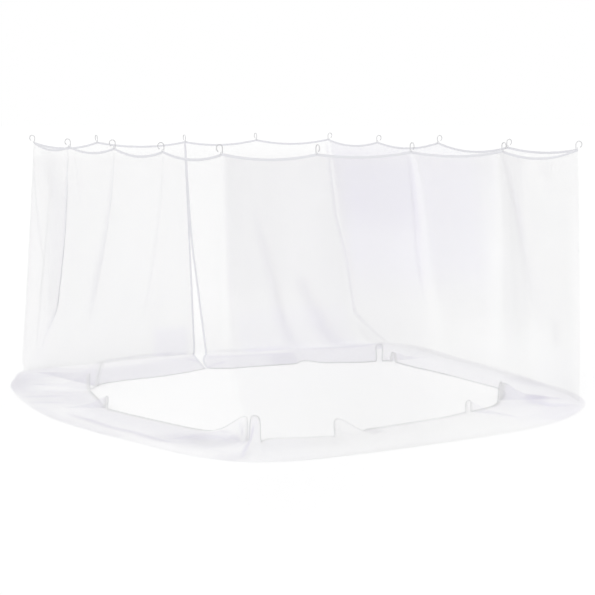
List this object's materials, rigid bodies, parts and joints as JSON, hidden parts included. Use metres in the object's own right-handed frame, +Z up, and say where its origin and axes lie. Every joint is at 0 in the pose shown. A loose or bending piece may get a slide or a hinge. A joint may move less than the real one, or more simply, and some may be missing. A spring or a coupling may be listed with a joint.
{
  "type": "gazebo mosquito net with hanging hooks",
  "caption": "White mosquito net hung as the four walls of a gazebo, with swagged bound top, overlapping door edges, a flap turned in on the floor and open hooks.",
  "frame": {"origin": "middle of the footprint on the floor (centre of the bounding box, at its lowest point)", "axes": "+Z up; X across the gazebo, along its shorter side, and Y along its longer side; the door is in the wall at +Y"},
  "size_m": [4.2854, 4.1002, 2.1272],
  "materials": {
    "net_mesh": "fine white knitted polyester mesh, sheer, matt",
    "edge_tape": "woven white polyester binding tape, matt",
    "hook_plastic": "off-white moulded plastic, satin"
  },
  "bodies": {
    "root": {"net": "net_mesh", "top_tape": "edge_tape", "door_tape_left": "edge_tape", "door_tape_right": "edge_tape", "hook_00": "hook_plastic", "hook_01": "hook_plastic", "hook_02": "hook_plastic", "hook_03": "hook_plastic", "hook_04": "hook_plastic", "hook_05": "hook_plastic", "hook_06": "hook_plastic", "hook_07": "hook_plastic", "hook_08": "hook_plastic", "hook_09": "hook_plastic", "hook_10": "hook_plastic", "hook_11": "hook_plastic", "hook_12": "hook_plastic", "hook_13": "hook_plastic", "hook_14": "hook_plastic", "hook_15": "hook_plastic"}
  },
  "joints": []
}
